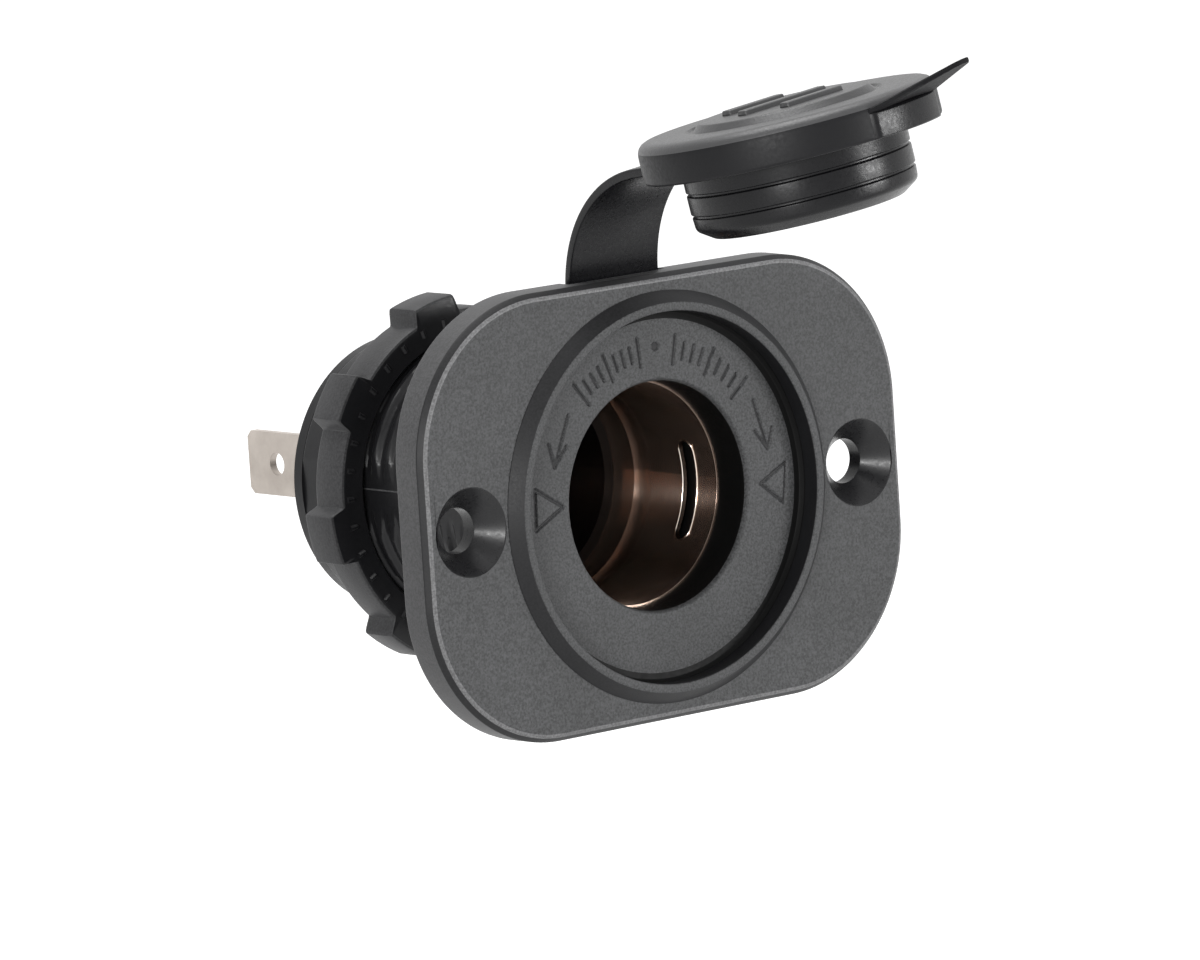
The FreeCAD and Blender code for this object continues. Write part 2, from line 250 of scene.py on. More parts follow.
GRAINED = moulded(
    "plate_grained", (0.057, 0.058, 0.059), (0.071, 0.072, 0.074),
    rough=0.55, grain_scale=4600, grain=0.6, specular=0.25, sand=0.42,
)
# Lighter copy of the plate plastic for the crest band: a painted highlight along the front edge.
PAINTED_HIGHLIGHT_EDGE = moulded(
    "plate_edge_painted_highlight", (0.13, 0.13, 0.133), (0.17, 0.17, 0.173),
    rough=0.5, grain_scale=4600, grain=0.4, specular=0.4, sand=0.35,
)
# The plate's side wall tone; the barrel's parting lines also take it as a painted glint.
WALL_AND_PAINTED_GLINT = moulded(
    "plate_wall_and_painted_glint", (0.062, 0.062, 0.064), (0.078, 0.078, 0.080),
    rough=0.5, grain_scale=4600, grain=0.3, specular=0.25, sand=0.25,
)
# Darker copy of the plate plastic with a smoother finish: painted shade on the plate's bevel, the flange
# ring's slope and the floors of the engraved marks.
SMOOTH_PAINTED_SHADE = moulded(
    "plate_smooth_painted_shade", (0.014, 0.014, 0.015), (0.020, 0.020, 0.021),
    rough=0.45, grain_scale=4600, grain=0.15, specular=0.2, sand=0.2,
)
# Darker copy of the plate plastic for the countersinks: painted shade in the recesses.
SINK_PAINTED_SHADE = moulded(
    "sink_painted_shade", (0.012, 0.012, 0.013), (0.018, 0.018, 0.019),
    rough=0.30, grain_scale=2600, grain=0.05, specular=0.3,
)
# Near-black plastic: the rear insulator's own colour, and painted shade on the barrel's outside, the flange
# ring's inner wall and the nut's front face.
BLACK_AND_PAINTED_SHADE = moulded(
    "body_black_and_painted_shade", (0.008, 0.008, 0.009), (0.012, 0.012, 0.013),
    rough=0.34, grain_scale=2600, grain=0.10, specular=0.22,
)
# Near-black copy of the plastic: painted shade in the flange ring's cove and down the bore.
RECESS_PAINTED_SHADE = moulded(
    "recess_painted_shade", (0.003, 0.003, 0.003), (0.005, 0.005, 0.005),
    rough=0.5, grain_scale=2600, grain=0.08, specular=0.1,
)
NUT = moulded(
    "nut_plastic", (0.036, 0.036, 0.037), (0.050, 0.050, 0.052),
    rough=0.50, grain_scale=4200, grain=0.30, specular=0.22, sand=0.25,
)
RUBBER = moulded(
    "rubber_black", (0.004, 0.004, 0.005), (0.007, 0.007, 0.008),
    rough=0.30, grain_scale=3000, grain=0.12, specular=0.22,
)
# Lighter copy of the cap rubber: painted light on the cap's top band, plateau and grip bars.
RUBBER_TOP_PAINTED_LIGHT = moulded(
    "rubber_matt_painted_light", (0.030, 0.030, 0.031), (0.042, 0.042, 0.044),
    rough=0.42, grain_scale=4200, grain=0.25, specular=0.6,
)
RUBBER_RIM = moulded(
    "rubber_rim", (0.004, 0.004, 0.005), (0.007, 0.007, 0.008),
    rough=0.46, grain_scale=3000, grain=0.12, specular=0.2,
)
RUBBER_TAB = moulded(
    "rubber_tab", (0.006, 0.006, 0.007), (0.010, 0.010, 0.011),
    rough=0.62, grain_scale=4200, grain=0.25, specular=0.1,
)
SLEEVE = plated(
    "sleeve_nickel", (0.38, 0.275, 0.22), (0.46, 0.345, 0.28),
    rough=0.23, streak_scale=900, stretch_by=(1, 6, 1), turned=1.0,
)
# Brighter copy of the sleeve metal: a painted glint on the window's rim.
PAINTED_GLINT_METAL = plated("sleeve_edge_painted_glint", (0.72, 0.62, 0.53), (0.84, 0.75, 0.67), rough=0.16, streak_scale=900)
# Darker copy of the sleeve metal: painted shade on the sleeve's front lip.
SLEEVE_LIP_PAINTED_SHADE = plated("sleeve_lip", (0.16, 0.12, 0.10), (0.22, 0.17, 0.14), rough=0.16, streak_scale=900)
TIN = plated("terminal_tin", (0.40, 0.36, 0.325), (0.50, 0.455, 0.415), rough=0.50, streak_scale=4500)


# Mesh helpers

def link_object(name, data):
    obj = bpy.data.objects.new(name, data)
    bpy.context.scene.collection.objects.link(obj)
    return obj


def add_piece(
    name, verts, faces, materials, body, replaced=(), matrix=None, sharp=32.0, face_slots=None
):
    """A piece from vertices in millimetres, riding on a CAD body; edges over sharp degrees stay crisp."""
    mesh = bpy.data.meshes.new(name)
    points = [Vector(v) for v in verts]
    if matrix is not None:
        points = [matrix @ v for v in points]
    mesh.from_pydata([v * MM for v in points], [], faces)
    for material in materials:
        mesh.materials.append(material)
    if face_slots:
        mesh.polygons.foreach_set("material_index", face_slots)
    cleaner = bmesh.new()
    cleaner.from_mesh(mesh)
    bmesh.ops.remove_doubles(cleaner, verts=cleaner.verts, dist=SAME_POINT)
    bmesh.ops.recalc_face_normals(cleaner, faces=cleaner.faces)
    cleaner.to_mesh(mesh)
    cleaner.free()
    mesh.shade_smooth()
    mesh.set_sharp_from_angle(angle=math.radians(sharp))
    obj = link_object(name, mesh)
    if body:
        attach(obj, body)
    if replaced:
        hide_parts(*replaced)
    return obj


def rounded(points, radii, steps):
    """A polyline with its inner corners rounded; radii has one value for each corner."""
    most = 0.48
    path = [Vector(points[0])]
    for before, corner, after, r in zip(points, points[1:], points[2:], radii):
        a, c, b = Vector(before), Vector(corner), Vector(after)
        if r <= 0:
            path.append(c)
            continue
        u = (a - c).normalized()
        v = (b - c).normalized()
        half = u.angle(v) / 2
        cut = min(r / math.tan(half), (a - c).length * most, (b - c).length * most)
        p0 = c + u * cut
        p1 = c + v * cut
        for i in range(steps + 1):
            t = i / steps
            path.append((1 - t) ** 2 * p0 + 2 * t * (1 - t) * c + t ** 2 * p1)
    path.append(Vector(points[-1]))
    return path


def ring_faces(rows, count, closed=False):
    """Quads between rows of count points each; closed joins the last row to the first."""
    faces = []
    for row in range(rows if closed else rows - 1):
        a = row * count
        b = (row + 1) % rows * count
        for i in range(count):
            j = (i + 1) % count
            faces.append((a + i, a + j, b + j, b + i))
    return faces


def end_faces(rows, count):
    """The two faces that close a tube at its first and its last row."""
    last = (rows - 1) * count
    return [tuple(range(count)), tuple(last + i for i in reversed(range(count)))]


def lathe(profile, segments, shape=None):
    """Rings about the Y axis from (radius, y) points; shape(r, y, angle) may change each point."""
    verts = []
    for r, y in profile:
        for i in range(segments):
            angle = TAU * i / segments
            rr, yy = shape(r, y, angle) if shape else (r, y)
            verts.append((rr * math.cos(angle), yy, rr * math.sin(angle)))
    return verts, ring_faces(len(profile), segments)


def block(section, x0, x1, inset):
    """A bar along X with a closed (y, z) section, its ends drawn in slightly in two steps."""
    step = inset * 0.4
    shrink = inset * 0.25
    count = len(section)
    cy = sum(p[0] for p in section) / count
    cz = sum(p[1] for p in section) / count
    stations = [(x0, 1 - inset), (x0 + step, 1 - shrink), (x0 + inset, 1.0)]
    stations += [(x1 - inset, 1.0), (x1 - step, 1 - shrink), (x1, 1 - inset)]
    verts = []
    for x, k in stations:
        verts += [(x, cy + (y - cy) * k, cz + (z - cz) * k) for y, z in section]
    return verts, ring_faces(len(stations), count) + end_faces(len(stations), count)


def smooth_step(t):
    t = min(max(t, 0.0), 1.0)
    return t * t * (3 - 2 * t)


# Mounting plate

PLATE_FACE, PLATE_BEVEL, PLATE_SINK, PLATE_CREST, PLATE_WALL = range(5)
# Slots of the plate's faces; the bevel and sink finishes are darker copies of the plate plastic as painted
# shade, the crest finish a lighter copy as painted highlight.
PLATE_FINISHES = (GRAINED, SMOOTH_PAINTED_SHADE, SINK_PAINTED_SHADE, PAINTED_HIGHLIGHT_EDGE, WALL_AND_PAINTED_GLINT)
PLATE_CORNER_STEPS = 40
PLATE_BACK_INSET = 0.9
PLATE_DRAFT = 0.05
PLATE_BEVEL_Y = -3.15
PLATE_BEVEL_INSET = 0.62
PLATE_FACE_INSET = 1.4
PLATE_EDGE_ROUNDS = (0.3, 0.22, 0.5)
PLATE_EDGE_STEPS = 4
PLATE_SHARP = 30
SINK_RIM_W = 0.1
SINK_RIM_DROP = 0.06
SINK_ROUNDS = (0.08, 0.1)
SINK_STEPS = 3
SINK_SEGMENTS = 96
SEAT_SEGMENTS = 160
NOTCH_SIDE_GAP = 0.5
NOTCH_REACH_OUT = 8.0
NOTCH_REACH_IN = 2.5
NOTCH_BEHIND = 1.0


def rounded_rectangle(inset):
    """Outline in (x, z) of the plate, drawn in by inset."""
    r = PLATE_CORNER_R - inset
    cx = PLATE_W / 2 - PLATE_CORNER_R
    cz = PLATE_H / 2 - PLATE_CORNER_R
    outline = []
    for quarter, (sx, sz) in enumerate(((1, 1), (-1, 1), (-1, -1), (1, -1))):
        for i in range(PLATE_CORNER_STEPS + 1):
            a = math.pi / 2 * (quarter + i / PLATE_CORNER_STEPS)
            outline.append((sx * cx + r * math.cos(a), sz * cz + r * math.sin(a)))
    return outline


def make_plate():
    mesh = bmesh.new()

    def skin(a, b, finish):
        for i in range(len(a)):
            j = (i + 1) % len(a)
            face = mesh.faces.new((a[i], a[j], b[j], b[i]))
            face.material_index = finish

    def ring(cx, r, y, count):
        angles = [TAU * i / count for i in range(count)]
        return [mesh.verts.new(((cx + r * math.cos(a)) * MM, y * MM, r * math.sin(a) * MM)) for a in angles]

    def ring_stack(cx, profile, count, finish):
        rings = [ring(cx, r, y, count) for r, y in profile]
        for a, b in zip(rings, rings[1:]):
            skin(a, b, finish)
        return rings[0], rings[-1]

    steps = PLATE_EDGE_STEPS
    section = rounded(
        [
            (PLATE_BACK_INSET, 0), (0, 0), (PLATE_DRAFT, PLATE_BEVEL_Y), (PLATE_BEVEL_INSET, -PLATE_T),
            (PLATE_FACE_INSET, -PLATE_T),
        ],
        PLATE_EDGE_ROUNDS, steps,
    )
    loops = []
    for inset, y in section:
        loops.append([mesh.verts.new((x * MM, y * MM, z * MM)) for x, z in rounded_rectangle(inset)])
    # The crest band takes the lighter copy as painted highlight, the bevel the darker copy as painted shade.
    finishes = [PLATE_WALL] * (steps + 2) + [PLATE_BEVEL] * (steps + 1) + [PLATE_CREST] * steps + [PLATE_FACE]
    for a, b, finish in zip(loops, loops[1:], finishes):
        skin(a, b, finish)

    front_edges = [loops[-1]]
    back_edges = [loops[0]]
    sink = rounded(
        [
            (SCREW_HEAD_R + SINK_RIM_W, -PLATE_T), (SCREW_HEAD_R, -PLATE_T + SINK_RIM_DROP),
            (SCREW_HOLE_R, -PLATE_T + SINK_DEPTH), (SCREW_HOLE_R, 0),
        ],
        SINK_ROUNDS, SINK_STEPS,
    )
    for side in (-1, 1):
        first, last = ring_stack(side * SCREW_X, sink, SINK_SEGMENTS, PLATE_SINK)
        front_edges.append(first)
        back_edges.append(last)
    seat = [
        (SEAT_R, -PLATE_T), (SEAT_R, SEAT_Y), (PLATE_HOLE_R, SEAT_Y), (PLATE_HOLE_R, -TETHER_T),
        (RING_SEAT_R, -TETHER_T), (RING_SEAT_R, 0),
    ]
    first, last = ring_stack(0, seat, SEAT_SEGMENTS, PLATE_BEVEL)
    front_edges.append(first)
    back_edges.append(last)
    for loops_of_face in (front_edges, back_edges):
        edges = []
        for loop in loops_of_face:
            for i in range(len(loop)):
                pair = (loop[i], loop[(i + 1) % len(loop)])
                edges.append(mesh.edges.get(pair) or mesh.edges.new(pair))
        bmesh.ops.triangle_fill(mesh, use_beauty=True, use_dissolve=False, edges=edges)
    bmesh.ops.remove_doubles(mesh, verts=mesh.verts, dist=SAME_POINT)
    bmesh.ops.recalc_face_normals(mesh, faces=mesh.faces)
    data = bpy.data.meshes.new("plate_shell")
    mesh.to_mesh(data)
    mesh.free()
    for material in PLATE_FINISHES:
        data.materials.append(material)
    plate = link_object("plate", data)
    cut_strap_notch(plate)
    plate.data.shade_smooth()
    plate.data.set_sharp_from_angle(angle=math.radians(PLATE_SHARP))
    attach(plate, "socket")
    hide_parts("mounting_plate")


def cut_strap_notch(plate):
    """The sloped notch in the plate's back where the strap comes over its top edge."""
    half = STRAP_W / 2 + NOTCH_SIDE_GAP
    top = PLATE_H / 2 + NOTCH_REACH_OUT
    slope = (NOTCH_DEPTH - TETHER_T) / (PLATE_H / 2 - STRAP_ROOT_Z)
    low = RING_SEAT_R - NOTCH_REACH_IN
    deep = -TETHER_T - slope * (top - STRAP_ROOT_Z)
    section = [
        (NOTCH_BEHIND, low), (-TETHER_T, low), (-TETHER_T, STRAP_ROOT_Z), (deep, top), (NOTCH_BEHIND, top),
    ]
    count = len(section)
    verts = []
    for x in (-half, half):
        verts += [tether_matrix() @ Vector((x, y, z)) * MM for y, z in section]
    faces = [tuple(range(count)), tuple(reversed(range(count, 2 * count)))]
    faces += [(i + count, (i + 1) % count + count, (i + 1) % count, i) for i in range(count)]
    data = bpy.data.meshes.new("notch_cutter")
    data.from_pydata(verts, [], faces)
    cutter = link_object("notch_cutter", data)
    modifier = plate.modifiers.new("notch", "BOOLEAN")
    modifier.operation = "DIFFERENCE"
    modifier.object = cutter
    modifier.solver = "EXACT"
    graph = bpy.context.evaluated_depsgraph_get()
    cut = bpy.data.meshes.new_from_object(plate.evaluated_get(graph))
    plate.modifiers.clear()
    plate.data = cut
    bpy.data.objects.remove(cutter)


# Socket body: flange ring, bore and threaded barrel

FLANGE_SEGMENTS = 224
FLANGE_FOOT_H = 0.06
FLANGE_ROUNDS = (0, 0, 0.03, 0.28, 0.22, 0.3, 0.15)
FLANGE_STEPS = 5
COVE_Y = -3.1
COVE_STEP = 0.25
COVE_FOOT_Y = -2.62
COVE_SHADE_Y = -3.3
LIP_FACE_DEPTH = 0.07
LIP_FACE_OVER = 0.05
INNER_WALL_SLACK = 0.02
MOUTH_EDGE = 0.9
MOUTH_EDGE_STEPS = 12
MOUTH_GRAINED = 0.6
BORE_ROUNDS = (0, 0, 0, 0.35, 0.1)
BORE_STEPS = 6
BARREL_SEGMENTS = 288
BARREL_ROWS = 220
BARREL_FROM = BARREL_TAIL_Y - 0.2
THREADED_FROM_R = BARREL_TAIL_R - 0.4
BEHIND_PLATE_Y = 0.2
SAME_RADIUS = 1e-6
FLAT_LEAST_COS = 0.5
POCKET_SLACK = 0.01
THREAD_CREST = 0.22
THREAD_FLANK = 0.5
THREAD_START = 0.6
THREAD_RUN_IN = 1.2
THREAD_STOP = BARREL_TAIL_Y - 0.3
THREAD_RUN_OUT = 1.5
PARTING_Z = 0.69
PARTING_HALF = 0.07
PARTING_FROM = 1.2
PARTING_TO = 31.2
PARTING_SUNK = 0.1
PARTING_PROUD = 0.05
PARTING_INSET = 0.01


def thread_radius(r, y, angle):
    """Barrel radius with a right-hand thread, cut by a flat on each side."""
    if r < THREADED_FROM_R or y < BEHIND_PLATE_Y:
        return r, y
    if abs(r - BARREL_R) < SAME_RADIUS and y < BARREL_FROM:
        phase = (y / THREAD_PITCH + angle / TAU) % 1.0
        ridge = smooth_step((abs(phase - 0.5) * 2 - THREAD_CREST) / THREAD_FLANK)
        fade = smooth_step((y - THREAD_START) / THREAD_RUN_IN)
        fade *= smooth_step((THREAD_STOP - y) / THREAD_RUN_OUT)
        r -= THREAD_DEPTH * ridge * fade
    return min(r, FLAT_X / max(abs(math.cos(angle)), FLAT_LEAST_COS)), y


def make_flange_ring():
    """Raised ring round the dial: smooth slope, grained lip, inner wall and cove, the slope, wall and cove
    darkened as painted shade.
    """
    smooth_shaded_slope, grained, black, shaded = range(4)
    front = rounded(
        [
            (SPIGOT_R, SPIGOT_Y), (SPIGOT_R, -PLATE_T), (FLANGE_FOOT_R, -PLATE_T),
            (FLANGE_FOOT_R, -PLATE_T - FLANGE_FOOT_H), (LIP_R, LIP_Y), (LIP_IN_R, LIP_Y), (LIP_IN_R, COVE_Y),
            (LIP_IN_R - COVE_STEP, COVE_FOOT_Y), (DIAL_OUT_R, DIAL_Y),
        ],
        FLANGE_ROUNDS, FLANGE_STEPS,
    )
    verts, faces = lathe(front, FLANGE_SEGMENTS)
    slots = []
    for a, b in zip(front, front[1:]):
        radius = (a[0] + b[0]) / 2
        level = (a[1] + b[1]) / 2
        # The slope, the inner wall and the cove take darker copies of the plastic than the lip: painted
        # shade, darkest in the cove.
        finish = smooth_shaded_slope
        if level < LIP_Y + LIP_FACE_DEPTH and radius < LIP_R + LIP_FACE_OVER:
            finish = grained
        elif radius < LIP_IN_R + INNER_WALL_SLACK:
            finish = black if level < COVE_SHADE_Y else shaded
        slots += [finish] * FLANGE_SEGMENTS
    add_piece(
        "flange_ring", verts, faces, [SMOOTH_PAINTED_SHADE, GRAINED, BLACK_AND_PAINTED_SHADE, RECESS_PAINTED_SHADE], "socket", ["socket_body"],
        sharp=40, face_slots=slots,
    )


def make_barrel():
    """Bore from the mouth's round edge to the tail, then the threaded outside back to the plate."""
    black, grained, shaded = range(3)
    edge = []
    for i in range(MOUTH_EDGE_STEPS):
        a = math.pi / 2 * i / MOUTH_EDGE_STEPS
        r = DIAL_IN_R - (DIAL_IN_R - MOUTH_R) * math.sin(a)
        edge.append(Vector((r, DIAL_Y + MOUTH_EDGE * (1 - math.cos(a)))))
    bore = rounded(
        [
            (MOUTH_R, DIAL_Y + MOUTH_EDGE), (MOUTH_R, SLEEVE_Y), (POCKET_R, SLEEVE_Y), (POCKET_R, BARREL_END),
            (BARREL_TAIL_R, BARREL_END), (BARREL_TAIL_R, BARREL_TAIL_Y), (BARREL_R, BARREL_FROM),
        ],
        BORE_ROUNDS, BORE_STEPS,
    )
    outside = []
    for i in range(1, BARREL_ROWS + 1):
        outside.append(Vector((BARREL_R, BARREL_FROM + (SPIGOT_Y - BARREL_FROM) * i / BARREL_ROWS)))
    profile = edge + bore + outside + [Vector((SPIGOT_R, SPIGOT_Y))]
    verts, faces = lathe(profile, BARREL_SEGMENTS, shape=thread_radius)
    slots = []
    for a, b in zip(profile, profile[1:]):
        # Faces inside the bore past the lighter top of the mouth's edge take the near-black recess copy as
        # painted shade; the outside takes the near-black plastic, also painted shade here.
        finish = black
        if max(a[0], b[0]) < POCKET_R + POCKET_SLACK:
            finish = grained if max(a[1], b[1]) < DIAL_Y + MOUTH_EDGE * MOUTH_GRAINED else shaded
        slots += [finish] * BARREL_SEGMENTS
    add_piece(
        "barrel", verts, faces, [BLACK_AND_PAINTED_SHADE, GRAINED, RECESS_PAINTED_SHADE], "socket", ["socket_body"], sharp=40,
        face_slots=slots,
    )


def make_parting_lines():
    """The mould's fine parting line along each flat of the barrel."""
    low = PARTING_Z - PARTING_HALF
    high = PARTING_Z + PARTING_HALF
    bar = [(PARTING_FROM, low), (PARTING_FROM, high), (PARTING_TO, high), (PARTING_TO, low)]
    for side in (-1, 1):
        x0, x1 = sorted((side * (FLAT_X - PARTING_SUNK), side * (FLAT_X + PARTING_PROUD)))
        verts, faces = block(bar, x0, x1, PARTING_INSET)
        name = "parting_line_%d" % (side > 0)
        # The ridge takes the much lighter wall material, not the barrel's near-black: a painted glint along
        # it.
        add_piece(name, verts, faces, [WALL_AND_PAINTED_GLINT], "socket", ["socket_body"])


# Recessed dial with engraved marks. Places on the dial are (radius, degrees) from its centre.

MARK_HALF = 0.12
TRIANGLES = (((15.3, 170), (11.8, 177), (15.3, 184.5)), ((15.95, 3.8), (12.6, -2.6), (15.6, -10.2)))
ARROWS = (
    ((13.9, 139), (13.3, 160.5), ((14.7, 153), (12.6, 150.5))),
    ((14.4, 31.3), (14.0, 11.0), ((13.1, 20.3), (15.2, 17.7))),
)
TICK_R = 13.9
TICK_SPANS = ((129, 96), (78, 40))
TICKS = 9
LONG_TICK_EVERY = 4
LONG_TICK = 1.35
SHORT_TICK = 0.75
DOT_ENDS = ((14.2, 87.2), (14.2, 87.6))
DOT_HALF = 0.36
MARK_DEPTH = 0.2
MARK_SOFT = 0.1
MARK_SHADE_FROM = 0.45
DIAL_SEGMENTS = 1200
DIAL_RINGS = 72


def segment_distance(p, a, b):
    ab = b - a
    t = min(max((p - a).dot(ab) / ab.length_squared, 0.0), 1.0)
    return (p - a - ab * t).length


def dial_strokes():
    """Engraved lines on the dial, each a pair of (x, z) points and a half width."""
    strokes = []

    def polar(r, degrees):
        a = math.radians(degrees)
        return Vector((r * math.cos(a), r * math.sin(a)))

    def line(points, half=MARK_HALF):
        marks = [polar(r, degrees) for r, degrees in points]
        strokes.extend((a, b, half) for a, b in zip(marks, marks[1:]))

    for triangle in TRIANGLES:
        line([*triangle, triangle[0]])
    for tail, tip, barbs in ARROWS:
        line([tail, tip])
        for barb in barbs:
            line([barb, tip])
    for first, last in TICK_SPANS:
        for i in range(TICKS):
            angle = first + (last - first) * i / (TICKS - 1)
            reach = SHORT_TICK if i % LONG_TICK_EVERY else LONG_TICK
            line([(TICK_R - reach, angle), (TICK_R + reach, angle)])
    line(DOT_ENDS, DOT_HALF)
    return strokes


def make_dial():
    strokes = dial_strokes()
    boxes = []
    for a, b, half in strokes:
        m = half + MARK_SOFT
        boxes.append((min(a.x, b.x) - m, max(a.x, b.x) + m, min(a.y, b.y) - m, max(a.y, b.y) + m))

    def sunk(x, z):
        best = 0.0
        for (a, b, half), (x0, x1, z0, z1) in zip(strokes, boxes):
            if x0 < x < x1 and z0 < z < z1:
                d = segment_distance(Vector((x, z)), a, b)
                best = max(best, 1 - smooth_step((d - half) / MARK_SOFT))
        return best * MARK_DEPTH

    verts = []
    for k in range(DIAL_RINGS + 1):
        r = DIAL_IN_R + (DIAL_OUT_R - DIAL_IN_R) * k / DIAL_RINGS
        for i in range(DIAL_SEGMENTS):
            a = TAU * i / DIAL_SEGMENTS
            x = r * math.cos(a)
            z = r * math.sin(a)
            y = DIAL_Y + (sunk(x, z) if 0 < k < DIAL_RINGS else 0)
            verts.append((x, y, z))
    faces = ring_faces(DIAL_RINGS + 1, DIAL_SEGMENTS)
    # Faces sunk past part of the mark's depth take the darker smooth material: painted shade in the engraved
    # lines.
    painted_shade_from = DIAL_Y + MARK_DEPTH * MARK_SHADE_FROM
    slots = [1 if min(verts[v][1] for v in face) > painted_shade_from else 0 for face in faces]
    add_piece(
        "dial", verts, faces, [GRAINED, SMOOTH_PAINTED_SHADE], "socket", ["socket_body"], sharp=60,
        face_slots=slots,
    )


# Ring nut

NUT_SEGMENTS = 1080
LUG_FOOT_SPREAD = 0.012
LUG_SIDE_SPREAD = 0.016
NUT_BORE_CHAMFER = 0.3
NUT_FRONT_ROUND = 0.30
NUT_REAR_ROUND = 0.40
ROUND_MIDDLE = 0.3
COLLAR_FILLET = 0.2
COLLAR_CHAMFER = 0.25
NUT_END_CHAMFER = 0.2
TEETH = 36
TOOTH_H = 0.24
TOOTH_HALF = 0.008
TOOTH_SIDE = 0.006
TOOTH_IN_R = 15.2
TOOTH_OUT_R = 16.0
TOOTH_RAMP = 0.02


def off_centre(angle, pitch):
    """How far an angle lies from the nearest multiple of pitch."""
    return abs((angle + pitch / 2) % pitch - pitch / 2)


def nut_radius(angle):
    """Outer radius of the nut with its lugs."""
    off = off_centre(angle - NUT_FIRST_LUG, TAU / NUT_LUGS)
    side = NUT_ROOT_HALF - NUT_TIP_HALF + LUG_SIDE_SPREAD
    share = smooth_step((NUT_ROOT_HALF + LUG_FOOT_SPREAD - off) / side)
    return NUT_ROOT_R + (NUT_LUG_R - NUT_ROOT_R) * share


def tooth(angle):
    """Height of the small locking teeth on the nut's front face."""
    return TOOTH_H * (1 - smooth_step((off_centre(angle, TAU / TEETH) - TOOTH_HALF) / TOOTH_SIDE))


def make_nut():
    plain, teeth, lugs = range(3)
    front = NUT_FRONT
    rear = NUT_FRONT + NUT_LEN
    end = rear + NUT_COLLAR_LEN
    front_middle = NUT_FRONT_ROUND * ROUND_MIDDLE
    rear_middle = NUT_REAR_ROUND * ROUND_MIDDLE
    rows = [
        (NUT_BORE_R, front + NUT_BORE_CHAMFER, plain), (NUT_BORE_R + NUT_BORE_CHAMFER, front, plain),
        (TOOTH_IN_R, front, plain), (TOOTH_IN_R + TOOTH_RAMP, front, teeth),
        (TOOTH_OUT_R - TOOTH_RAMP, front, teeth), (TOOTH_OUT_R, front, plain),
        (-NUT_FRONT_ROUND, front, lugs), (-front_middle, front + front_middle, lugs),
        (0, front + NUT_FRONT_ROUND, lugs), (0, rear - NUT_REAR_ROUND, lugs),
        (-rear_middle, rear - rear_middle, lugs), (-NUT_REAR_ROUND, rear, lugs),
        (NUT_COLLAR_R + COLLAR_FILLET, rear, plain), (NUT_COLLAR_R, rear + COLLAR_FILLET, plain),
        (NUT_COLLAR_R, end - COLLAR_CHAMFER, plain), (NUT_COLLAR_R - COLLAR_CHAMFER, end, plain),
        (NUT_BORE_R + NUT_END_CHAMFER, end, plain), (NUT_BORE_R, end - NUT_END_CHAMFER, plain),
    ]
    kinds = [kind for _, _, kind in rows]
    verts = []
    for r, y, kind in rows:
        for i in range(NUT_SEGMENTS):
            angle = TAU * i / NUT_SEGMENTS
            rr = nut_radius(angle) + r if kind == lugs else r
            yy = y - tooth(angle) if kind == teeth else y
            verts.append((rr * math.cos(angle), yy, rr * math.sin(angle)))
    faces = ring_faces(len(rows), NUT_SEGMENTS, closed=True)
    # The front face, in the plate's shadow, takes the near-black plastic as painted shade; the lugs and
    # collar take the nut's plastic.
    front_faces = kinds.index(lugs) * NUT_SEGMENTS
    slots = [1] * front_faces + [0] * (len(faces) - front_faces)
    add_piece(
        "lug_nut", verts, faces, [NUT, BLACK_AND_PAINTED_SHADE], "nut", ["ring_nut"], sharp=38, face_slots=slots
    )


# Cap

CAP_SEGMENTS = 192
AXIS_R = 0.001
PLATEAU_R = 8.0
PLATEAU_H = 0.55
FOOT_GROOVE_IN_R = 8.6
FOOT_GROOVE_OUT_R = 9.0
FOOT_GROOVE_EDGE_R = 9.3
FOOT_GROOVE_DEPTH = 0.2
FOOT_GROOVE_PAINTED_SHADE = (8.4, 9.15)
PAINTED_LIGHT_TOP_BAND = 0.6
SEAL_GROOVE_DEPTH = 0.27
SEAL_GROOVES = ((-1.6, 0.0), (-3.65, 0.04))
SEAL_GROOVE_DROPS = (0.06, 0.26, 0.35)
PLUG_TAPER = 0.12
PLUG_TAPER_Z = -5.2
PLUG_TIP_R = 8.95
HOLLOW_R = 6.8
HOLLOW_FLOOR_R = 6.05
HOLLOW_DEPTH = 1.5
DISC_ROUNDS = (0.3, 0.15, 0.15, 0.2, 1.3, 0.35, 0.12)
SEAL_GROOVE_ROUNDS = (0.08, 0.05, 0.05, 0.1)
TIP_ROUNDS = (0.7, 0.6, 0.3, 0.4)
CAP_ROUND_STEPS = 5
RIM_FROM_R = PLUG_R + 1
RIM_IN_R = 12.0
RIM_UNDER = 0.05


